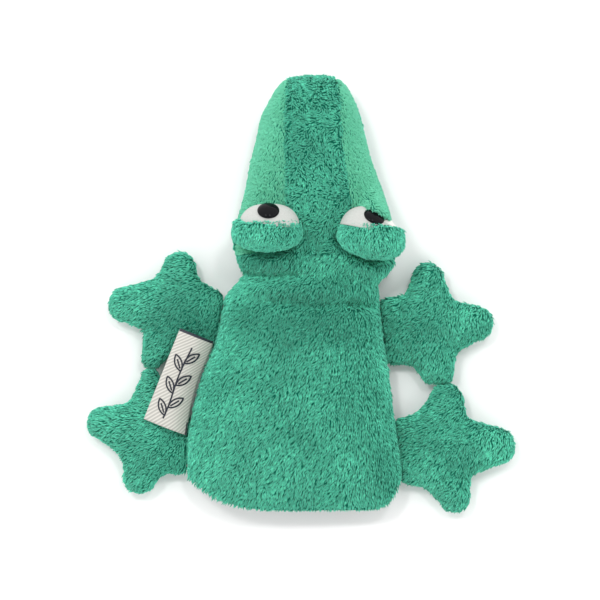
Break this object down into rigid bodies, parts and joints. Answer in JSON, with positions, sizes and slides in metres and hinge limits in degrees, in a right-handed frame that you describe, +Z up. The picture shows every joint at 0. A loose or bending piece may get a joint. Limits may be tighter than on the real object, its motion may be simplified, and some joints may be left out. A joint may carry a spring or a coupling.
{
  "type": "moving mouth hand puppet",
  "caption": "Plush crocodile hand puppet lying on its belly: open torso pocket, hinged snout and jaw, domed eyes with heavy lids, floppy star paws and a folded side label.",
  "frame": {"origin": "on the flat underside of the belly, under the middle of the torso, at the surface the puppet lies on", "axes": "+Z up, +Y along the puppet towards the snout's tip, +X towards the puppet's right as seen from above"},
  "size_m": [0.2218, 0.2266, 0.0509],
  "materials": {
    "green_plush": "short soft pile, about 2 mm",
    "white_velour": "smooth short velour",
    "black_plastic": "polished",
    "washer_nylon": "moulded",
    "polyester_filling": "loose fibre",
    "lining_cloth": "plain woven",
    "mouth_felt": "felt",
    "mouth_foam": "closed-cell foam sheet",
    "woven_ribbon": "ribbed satin ribbon, dark weft on its back"
  },
  "bodies": {
    "torso": {"body_back": "green_plush", "body_belly": "green_plush", "lining_back": "lining_cloth", "lining_belly": "lining_cloth"},
    "neck": {"neck_sleeve": "green_plush"},
    "head": {"head_gusset": "green_plush", "head_side_left": "green_plush", "head_side_right": "green_plush", "throat_plush": "green_plush", "palate_upper": "mouth_felt", "mouth_foam_upper": "mouth_foam", "snout_filling": "polyester_filling", "eyelid_left": "green_plush", "eyelid_right": "green_plush", "eye_white_left": "white_velour", "eye_white_right": "white_velour", "eye_filling_left": "polyester_filling", "eye_filling_right": "polyester_filling", "eye_button_left": "black_plastic", "eye_button_right": "black_plastic", "eye_washer_left": "washer_nylon", "eye_washer_right": "washer_nylon"},
    "lower_jaw": {"lower_jaw_plush": "green_plush", "palate_lower": "mouth_felt", "mouth_foam_lower": "mouth_foam"},
    "label": {"woven_label": "woven_ribbon"},
    "front_paw_left": {"front_paw_left_upper": "green_plush", "front_paw_left_lower": "green_plush", "front_paw_left_filling": "polyester_filling"},
    "front_paw_right": {"front_paw_right_upper": "green_plush", "front_paw_right_lower": "green_plush", "front_paw_right_filling": "polyester_filling"},
    "rear_paw_left": {"rear_paw_left_upper": "green_plush", "rear_paw_left_lower": "green_plush", "rear_paw_left_filling": "polyester_filling"},
    "rear_paw_right": {"rear_paw_right_upper": "green_plush", "rear_paw_right_lower": "green_plush", "rear_paw_right_filling": "polyester_filling"}
  },
  "joints": [
    {"name": "neck_turn", "type": "hinge", "parent": "torso", "child": "neck", "pos_m": [0.0065, 0.065, 0.014], "axis": [0, 0, 1], "range_deg": [-15, 15]},
    {"name": "neck_nod", "type": "hinge", "parent": "neck", "child": "head", "pos_m": [0.0065, 0.065, 0.014], "axis": [1, 0, 0], "range_deg": [-30, 30], "deforming": ["neck_sleeve"]},
    {"name": "jaw_open", "type": "hinge", "parent": "head", "child": "lower_jaw", "pos_m": [0.0105, 0.082, 0.0148], "axis": [-1, 0, 0], "range_deg": [0, 50], "deforming": ["throat_plush"]},
    {"name": "front_paw_left_swing", "type": "hinge", "parent": "torso", "child": "front_paw_left", "pos_m": [-0.0425, 0.04, 0.0076], "axis": [0, 1, 0], "range_deg": [-75, 0]},
    {"name": "front_paw_right_swing", "type": "hinge", "parent": "torso", "child": "front_paw_right", "pos_m": [0.0476, 0.038, 0.0076], "axis": [0, -1, 0], "range_deg": [-75, 75]},
    {"name": "rear_paw_left_swing", "type": "hinge", "parent": "torso", "child": "rear_paw_left", "pos_m": [-0.0582, -0.0205, 0.0076], "axis": [0, 1, 0], "range_deg": [-75, 0]},
    {"name": "rear_paw_right_swing", "type": "hinge", "parent": "torso", "child": "rear_paw_right", "pos_m": [0.0557, -0.0245, 0.0076], "axis": [0, -1, 0], "range_deg": [-75, 75]},
    {"name": "label_lift", "type": "hinge", "parent": "torso", "child": "label", "pos_m": [-0.0512, 0.008, 0.0124], "axis": [0.257, 0.9664, 0], "range_deg": [0, 80]}
  ]
}
